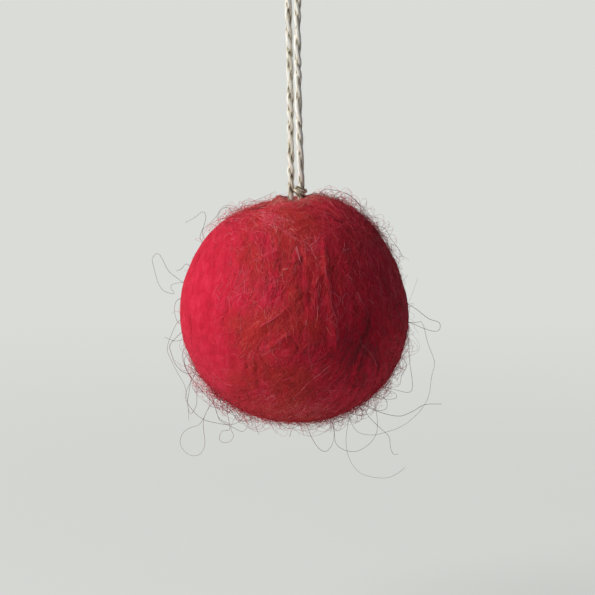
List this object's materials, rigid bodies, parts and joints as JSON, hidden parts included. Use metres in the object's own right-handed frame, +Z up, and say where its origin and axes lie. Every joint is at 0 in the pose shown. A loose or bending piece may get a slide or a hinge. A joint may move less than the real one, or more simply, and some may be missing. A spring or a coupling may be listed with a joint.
{
  "type": "felt christmas ornament",
  "caption": "Red felted wool ball on a doubled loop of natural twine, knotted into a dimple on its crown, that hangs from a hook or twig, swings, tips and spins.",
  "frame": {"origin": "on the axis of the hook, in the middle of the bend at the top of the twine loop", "axes": "+Z up along the hanging loop, +X to the right across the front of the ball, +Y to the back, along the hook"},
  "size_m": [0.0637, 0.0565, 0.1172],
  "materials": {
    "red_wool_felt": "needle-felted dyed wool, matt, with loose surface fibres",
    "undyed_wool": "felted undyed core wool, matt",
    "hemp_twine": "natural bast-fibre twine of twisted plies, matt"
  },
  "bodies": {
    "eye": {"twine_eye": "hemp_twine"},
    "neck": {"twine_left_neck": "hemp_twine", "twine_right_neck": "hemp_twine"},
    "legs": {"twine_left_leg": "hemp_twine", "twine_right_leg": "hemp_twine"},
    "knot": {"base_knot": "hemp_twine"},
    "ball": {"felt_shell": "red_wool_felt", "wool_core": "undyed_wool", "twine_stitch": "hemp_twine", "stray_fibre_1": "red_wool_felt", "stray_fibre_2": "red_wool_felt", "stray_fibre_3": "red_wool_felt", "stray_fibre_4": "red_wool_felt", "stray_fibre_5": "red_wool_felt", "stray_fibre_6": "red_wool_felt", "stray_fibre_7": "red_wool_felt", "stray_fibre_8": "red_wool_felt", "stray_fibre_9": "red_wool_felt", "stray_fibre_10": "red_wool_felt", "stray_fibre_11": "red_wool_felt", "stray_fibre_12": "red_wool_felt", "stray_fibre_13": "red_wool_felt", "stray_fibre_14": "red_wool_felt", "stray_fibre_15": "red_wool_felt", "stray_fibre_16": "red_wool_felt", "stray_fibre_17": "red_wool_felt", "stray_fibre_18": "red_wool_felt", "stray_fibre_19": "red_wool_felt", "stray_fibre_20": "red_wool_felt", "stray_fibre_21": "red_wool_felt", "stray_fibre_22": "red_wool_felt"}
  },
  "joints": [
    {"name": "loop_swing", "type": "hinge", "parent": "eye", "child": "neck", "pos_m": [0, 0, 0], "axis": [0, 1, 0], "range_deg": [-60, 60], "deforming": ["twine_eye"]},
    {"name": "loop_sway", "type": "hinge", "parent": "neck", "child": "legs", "pos_m": [-0.00036, 0, -0.01], "axis": [1, 0, 0], "range_deg": [-60, 60]},
    {"name": "ball_spin", "type": "hinge", "parent": "legs", "child": "knot", "pos_m": [0.00028, 0, -0.0516], "axis": [0, 0, 1], "range_deg": [-180, 180], "stiffness_Nm_per_rad": 0.0000028},
    {"name": "ball_tip", "type": "hinge", "parent": "knot", "child": "ball", "pos_m": [0.00028, 0, -0.0516], "axis": [1, 0, 0], "range_deg": [-75, 75]}
  ]
}
